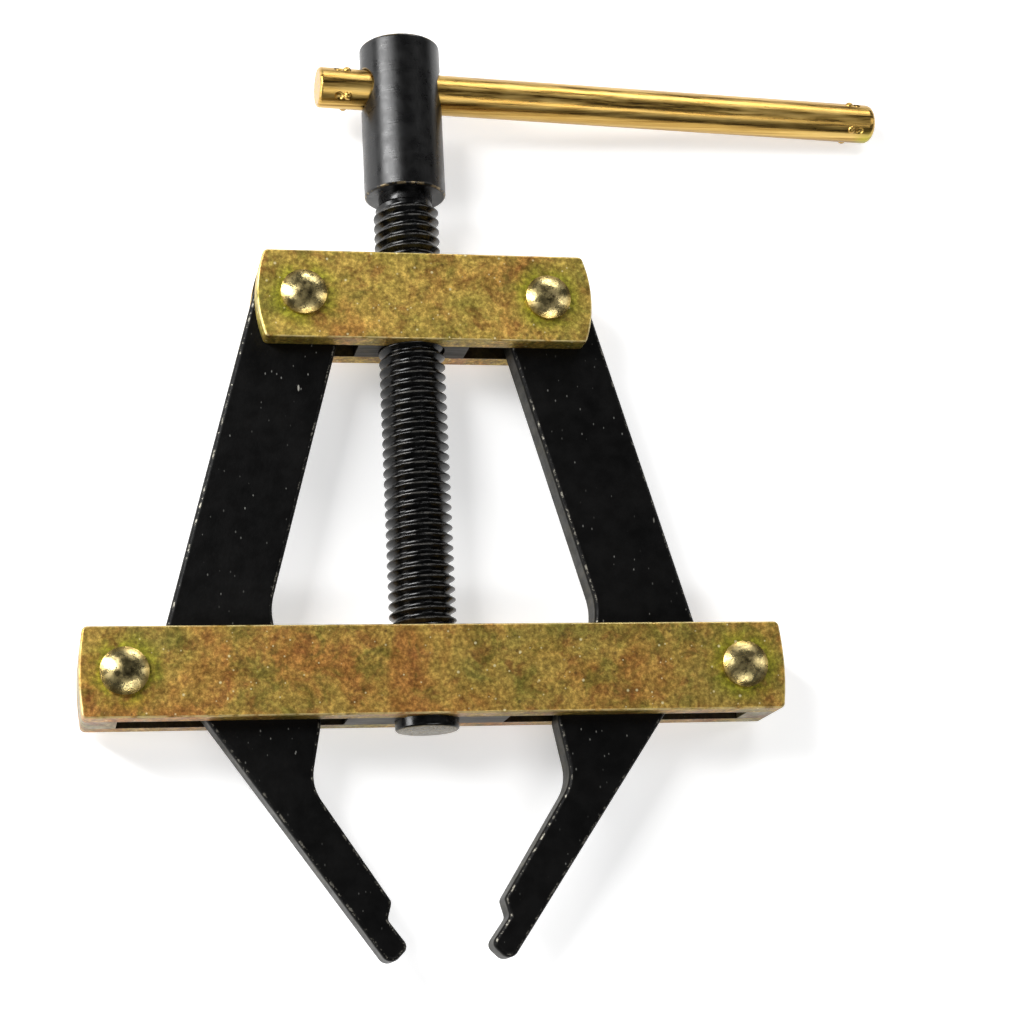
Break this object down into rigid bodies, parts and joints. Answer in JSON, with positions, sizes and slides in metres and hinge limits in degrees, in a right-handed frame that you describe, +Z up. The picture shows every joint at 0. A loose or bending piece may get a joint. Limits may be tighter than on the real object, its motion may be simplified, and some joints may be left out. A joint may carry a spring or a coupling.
{
  "type": "chain puller",
  "caption": "Two-jaw chain puller: inward-hooked black arms on riveted gold crossbars, drawn together by a forcing screw with a sliding tommy bar.",
  "frame": {"origin": "centre of the screw's tip face, on the screw's axis", "axes": "+X across the tool to its right, +Y along the screw from the tip to the head, +Z up, out of the face of the crossbars, with the tool lying flat on its back"},
  "size_m": [0.2069, 0.2252, 0.0248],
  "materials": {
    "plates": "mottled yellow zinc passivate, worn bright along the edges",
    "rivets": "polished pale yellow zinc",
    "blocks": "dull yellow zinc passivate",
    "arms": "satin black with fine specks and worn edges",
    "head": "satin black oxide, scuffed at the lower rim",
    "spindle": "glossy oiled black oxide",
    "tommy": "bright polished gold passivate"
  },
  "bodies": {
    "upper_bar": {"upper_front_plate": "plates", "upper_rear_plate": "plates", "nut_block_left": "blocks", "nut_block_right": "blocks", "upper_rivet_left": "rivets", "upper_rivet_right": "rivets"},
    "lower_bar": {"lower_front_plate": "plates", "lower_rear_plate": "plates", "lower_rivet_left": "rivets", "lower_rivet_right": "rivets", "lower_spacer_left": "blocks", "lower_spacer_right": "blocks", "retainer_block_left": "blocks", "retainer_block_right": "blocks"},
    "screw": {"spindle": "spindle", "spindle_head": "head"},
    "tommy": {"tommy_bar": "tommy"},
    "left_jaw_arm": {"left_arm": "arms"},
    "right_jaw_arm": {"right_arm": "arms"}
  },
  "joints": [
    {"name": "screw_spin", "type": "hinge", "parent": "lower_bar", "child": "screw", "pos_m": [0, 0.013, 0], "axis": [0, 1, 0], "range_deg": [-2520, 3240]},
    {"name": "lower_bar_travel", "type": "slide", "parent": "upper_bar", "child": "lower_bar", "axis": [0, 1, 0], "range_m": [-0.01755, 0.02255]},
    {"name": "left_arm_swing", "type": "hinge", "parent": "upper_bar", "child": "left_jaw_arm", "pos_m": [-0.0271, 0.1038, 0], "axis": [0, 0, -1], "range_deg": [-3, 3.8]},
    {"name": "right_arm_swing", "type": "hinge", "parent": "upper_bar", "child": "right_jaw_arm", "pos_m": [0.0323, 0.1038, 0], "axis": [0, 0, 1], "range_deg": [-3, 3.8]},
    {"name": "tommy_slide", "type": "slide", "parent": "screw", "child": "tommy", "axis": [0.9982, 0, -0.0592], "range_m": [-0.106, 0.002]}
  ],
  "couplings": [
    {"joint": "lower_bar_travel", "follows": "screw_spin", "m_per_rad": 0.00039789},
    {"joint": "left_arm_swing", "follows": "screw_spin", "ratio": 0.0011667},
    {"joint": "right_arm_swing", "follows": "screw_spin", "ratio": 0.0011667}
  ]
}
